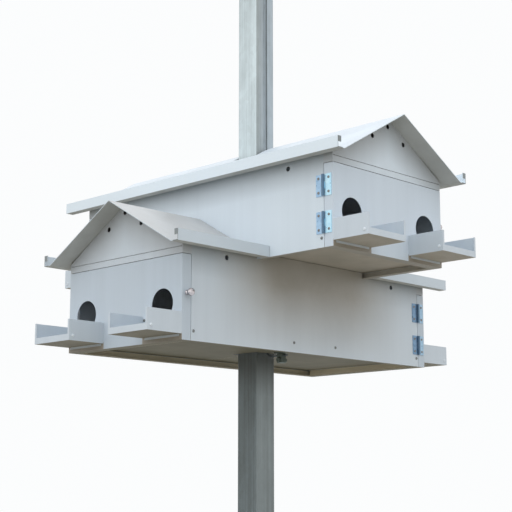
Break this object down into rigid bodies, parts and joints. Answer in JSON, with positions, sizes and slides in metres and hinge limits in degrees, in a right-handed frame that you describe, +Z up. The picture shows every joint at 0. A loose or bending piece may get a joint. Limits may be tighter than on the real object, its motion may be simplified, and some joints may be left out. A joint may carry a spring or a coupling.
{
  "type": "purple martin birdhouse on a square post",
  "caption": "White sheet-metal birdhouse of two crossed gabled houses that slides on a square post, with hinged end doors, round entrances and porch trays.",
  "frame": {"origin": "centre of the post's foot, at ground level", "axes": "+Z up along the post; the lower house runs along Y with its front at -Y, the upper house runs along X"},
  "size_m": [0.816, 0.816, 3.2991],
  "materials": {
    "white_enamel": "white baked enamel on sheet aluminium",
    "bare_aluminium": "mill finish sheet",
    "zinc_plate": "bright zinc plate",
    "galvanized_steel": "hot-dip galvanized, spangled",
    "dark_steel": "dark coated cable and clip",
    "grey_nylon": "moulded nylon",
    "knob_white": "pale turned knob"
  },
  "bodies": {
    "post": {"post": "galvanized_steel", "post_cap": "galvanized_steel", "head_sheave": "grey_nylon", "head_cable": "dark_steel", "lift_cable": "dark_steel"},
    "house": {"cable_clip": "dark_steel", "lower_ceiling": "bare_aluminium", "lower_floor": "white_enamel", "lower_gable_back": "white_enamel", "lower_gable_front": "white_enamel", "lower_guide": "grey_nylon", "lower_hinge_leaves": "zinc_plate", "lower_partition_back": "bare_aluminium", "lower_partition_front": "bare_aluminium", "lower_roof_back": "white_enamel", "lower_roof_front": "white_enamel", "lower_wall_left": "white_enamel", "lower_wall_right": "white_enamel", "upper_ceiling": "bare_aluminium", "upper_floor": "white_enamel", "upper_gable_left": "white_enamel", "upper_gable_right": "white_enamel", "upper_guide": "grey_nylon", "upper_hinge_leaves": "zinc_plate", "upper_partition_left": "bare_aluminium", "upper_partition_right": "bare_aluminium", "upper_roof": "white_enamel", "upper_wall_back": "white_enamel", "upper_wall_front": "white_enamel"},
    "lower_front_door": {"lower_door_front": "white_enamel", "lower_porches_front": "white_enamel", "lower_knob_front": "knob_white", "lower_door_leaves_front": "zinc_plate"},
    "lower_back_door": {"lower_door_back": "white_enamel", "lower_porches_back": "white_enamel", "lower_knob_back": "knob_white", "lower_door_leaves_back": "zinc_plate"},
    "upper_left_door": {"upper_door_left": "white_enamel", "upper_porches_left": "white_enamel", "upper_knob_left": "knob_white", "upper_door_leaves_left": "zinc_plate"},
    "upper_right_door": {"upper_door_right": "white_enamel", "upper_porches_right": "white_enamel", "upper_knob_right": "knob_white", "upper_door_leaves_right": "zinc_plate"}
  },
  "joints": [
    {"name": "house_lift", "type": "slide", "parent": "post", "child": "house", "axis": [0, 0, 1], "range_m": [-1, 1], "deforming": ["lift_cable"]},
    {"name": "lower_front_door_hinge", "type": "hinge", "parent": "house", "child": "lower_front_door", "pos_m": [-0.1554, -0.3115, 1.8755], "axis": [0, 0, -1], "range_deg": [0, 170]},
    {"name": "lower_back_door_hinge", "type": "hinge", "parent": "house", "child": "lower_back_door", "pos_m": [0.1554, 0.3115, 1.8755], "axis": [0, 0, -1], "range_deg": [0, 170]},
    {"name": "upper_left_door_hinge", "type": "hinge", "parent": "house", "child": "upper_left_door", "pos_m": [-0.3115, 0.1554, 2.0345], "axis": [0, 0, -1], "range_deg": [0, 170]},
    {"name": "upper_right_door_hinge", "type": "hinge", "parent": "house", "child": "upper_right_door", "pos_m": [0.3115, -0.1554, 2.0345], "axis": [0, 0, -1], "range_deg": [0, 170]}
  ]
}
